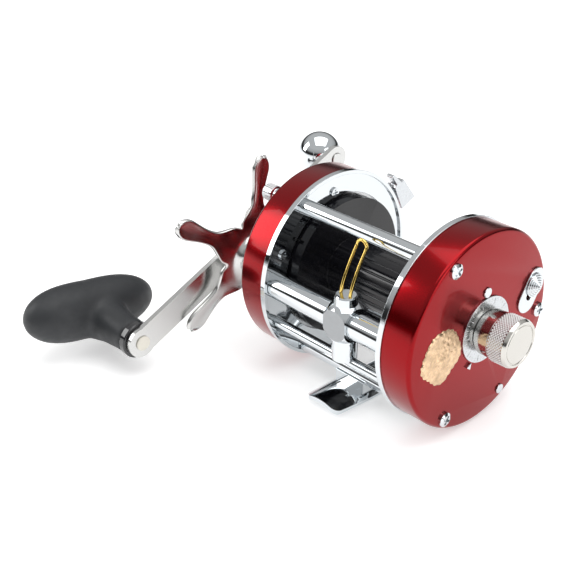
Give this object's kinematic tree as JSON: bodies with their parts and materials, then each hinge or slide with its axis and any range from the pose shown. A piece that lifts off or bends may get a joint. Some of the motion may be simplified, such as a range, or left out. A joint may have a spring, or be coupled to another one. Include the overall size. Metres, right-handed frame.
{
  "type": "baitcasting reel",
  "caption": "Round baitcasting fishing reel with a level-wind line guide, star drag, counterweighted crank and a braked spool in a pillar frame.",
  "frame": {"origin": "middle of the foot, in the plane of the foot's two lower edges, under the middle of the spool", "axes": "+X along the spool towards the palm side, -Y towards the rod tip and the line guide, +Z from the rod seat up to the spool"},
  "size_m": [0.1537, 0.1356, 0.069],
  "materials": {
    "chrome": "mirror chrome plating",
    "red_anodised": "deep red anodised and polished",
    "badge_gold": "pale gold relief",
    "satin_dial": "satin dial",
    "nickel_knob": "knurled nickel",
    "steel": "turned steel",
    "satin_steel": "satin polished",
    "cream_rivet": "cream washer",
    "grip_rubber": "matt soft grip",
    "black_gloss": "gloss black",
    "black_spool": "black anodised",
    "gear_brass": "cut brass",
    "gear_plastic": "moulded",
    "drag_fibre": "fibre and steel stack",
    "gold_wire": "polished gold wire"
  },
  "bodies": {
    "frame": {"handle_frame_plate": "chrome", "palm_frame_plate": "chrome", "pillar_top": "chrome", "pillar_rear": "chrome", "pillar_foot_front": "chrome", "pillar_foot_rear": "chrome", "guide_rod": "chrome", "level_wind_tube": "chrome", "reel_foot": "chrome", "foot_cradles": "chrome", "foot_rivets": "chrome", "palm_cover": "red_anodised", "handle_cover": "red_anodised", "palm_screws": "chrome", "thumb_screws": "chrome", "plate_screws": "chrome", "palm_rivets": "chrome", "badge": "badge_gold", "dial": "satin_dial", "dial_pointer": "chrome", "click_plate": "chrome", "palm_bearing": "steel", "handle_bearing": "steel", "bridge_plate": "steel", "crank_bushing": "steel"},
    "spool": {"spool": "black_spool", "spool_shaft": "steel", "pinion": "gear_brass", "click_gear": "steel", "brake_blocks": "gear_plastic"},
    "crank": {"drive_shaft": "steel", "ratchet_wheel": "steel", "wind_drive_gear": "gear_plastic", "main_gear": "gear_brass", "drag_washers": "drag_fibre", "crank_arm": "satin_steel", "crank_nut": "satin_steel", "counterweight": "chrome", "counterweight_rivet": "satin_steel", "grip_spindle": "cream_rivet", "star_spring": "steel"},
    "star": {"star_wheel": "satin_steel"},
    "grip": {"grip": "grip_rubber", "grip_collar": "black_gloss"},
    "worm": {"worm_shaft": "steel", "wind_gear": "gear_plastic"},
    "carriage": {"line_carriage": "chrome", "line_guide": "gold_wire", "pawl": "steel", "pawl_cap": "chrome"},
    "brake_knob": {"brake_knob": "nickel_knob"},
    "tension_cap": {"tension_cap": "chrome"},
    "click_button": {"click_button": "chrome", "click_tongue": "steel"},
    "release_lever": {"release_lever": "chrome"},
    "clutch_yoke": {"clutch_yoke": "steel"},
    "reverse_stop": {"reverse_stop": "steel"}
  },
  "joints": [
    {"name": "crank_turn", "type": "hinge", "parent": "frame", "child": "crank", "pos_m": [0, -0.01661, 0.03372], "axis": [1, 0, 0], "continuous": true},
    {"name": "spool_spin", "type": "hinge", "parent": "frame", "child": "spool", "pos_m": [0, 0.002, 0.03372], "axis": [1, 0, 0], "continuous": true},
    {"name": "worm_spin", "type": "hinge", "parent": "frame", "child": "worm", "pos_m": [0, -0.0285, 0.03522], "axis": [1, 0, 0], "continuous": true},
    {"name": "star_drag_turn", "type": "hinge", "parent": "crank", "child": "star", "pos_m": [0, -0.01661, 0.03372], "axis": [1, 0, 0], "range_deg": [-180, 180]},
    {"name": "grip_spin", "type": "hinge", "parent": "crank", "child": "grip", "pos_m": [-0.0589, -0.06283, 0.01217], "axis": [1, 0, 0], "continuous": true},
    {"name": "carriage_slide", "type": "slide", "parent": "frame", "child": "carriage", "axis": [1, 0, 0], "range_m": [-0.0249, 0.0111]},
    {"name": "brake_knob_turn", "type": "hinge", "parent": "frame", "child": "brake_knob", "pos_m": [0, 0.002, 0.03372], "axis": [1, 0, 0], "range_deg": [-180, 180]},
    {"name": "tension_cap_turn", "type": "hinge", "parent": "frame", "child": "tension_cap", "pos_m": [0, 0.002, 0.03372], "axis": [1, 0, 0], "range_deg": [-180, 180]},
    {"name": "click_slide", "type": "slide", "parent": "frame", "child": "click_button", "axis": [0, 0.5299, 0.848], "range_m": [-0.004, 0]},
    {"name": "release_press", "type": "slide", "parent": "frame", "child": "release_lever", "axis": [0, -0.9063, -0.4226], "range_m": [0, 0.003], "stiffness_N_per_m": 300},
    {"name": "clutch_shift", "type": "slide", "parent": "frame", "child": "clutch_yoke", "axis": [-1, 0, 0], "range_m": [0, 0.0012]},
    {"name": "reverse_stop_tilt", "type": "hinge", "parent": "frame", "child": "reverse_stop", "pos_m": [0, -0.01778, 0.02037], "axis": [1, 0, 0], "range_deg": [-8, 0], "stiffness_Nm_per_rad": 0.002}
  ],
  "couplings": [
    {"joint": "spool_spin", "follows": "crank_turn", "ratio": -4.1667},
    {"joint": "worm_spin", "follows": "crank_turn", "ratio": -2.6923},
    {"joint": "clutch_shift", "follows": "release_press", "ratio": 0.4}
  ]
}
